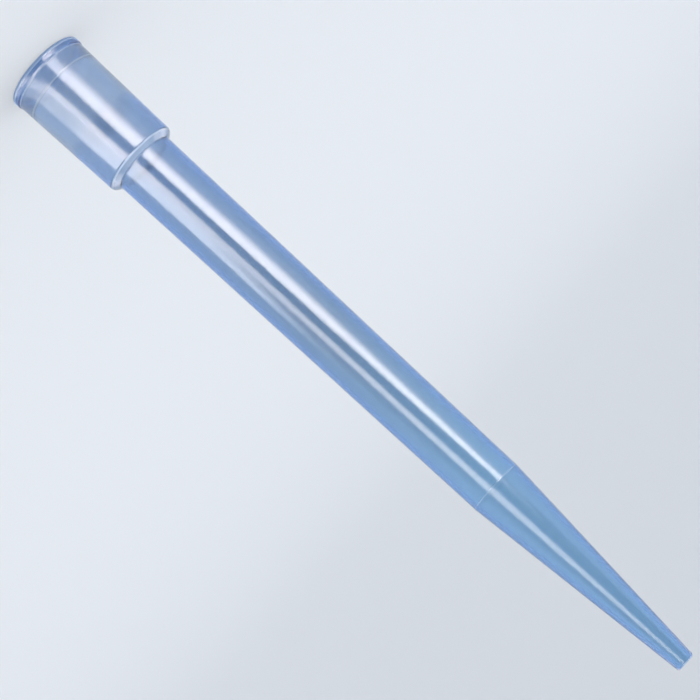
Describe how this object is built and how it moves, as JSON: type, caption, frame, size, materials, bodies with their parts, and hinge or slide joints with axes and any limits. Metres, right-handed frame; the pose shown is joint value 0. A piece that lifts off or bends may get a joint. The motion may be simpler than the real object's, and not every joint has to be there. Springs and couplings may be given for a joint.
{
  "type": "pipette tip",
  "caption": "Large clear plastic pipette tip: a wide collar with a socket, a sloped shoulder, a long barrel and a steeper cone down to the orifice.",
  "frame": {"origin": "centre of the rim round the mouth, in the plane that the tip stands on", "axes": "+Z along the axis from the mouth to the pointed end; X and Y are any two directions across it"},
  "size_m": [0.0156, 0.0156, 0.15],
  "materials": {
    "polypropylene": "glossy translucent, as moulded"
  },
  "bodies": {
    "root": {"tip_body": "polypropylene"}
  },
  "joints": []
}
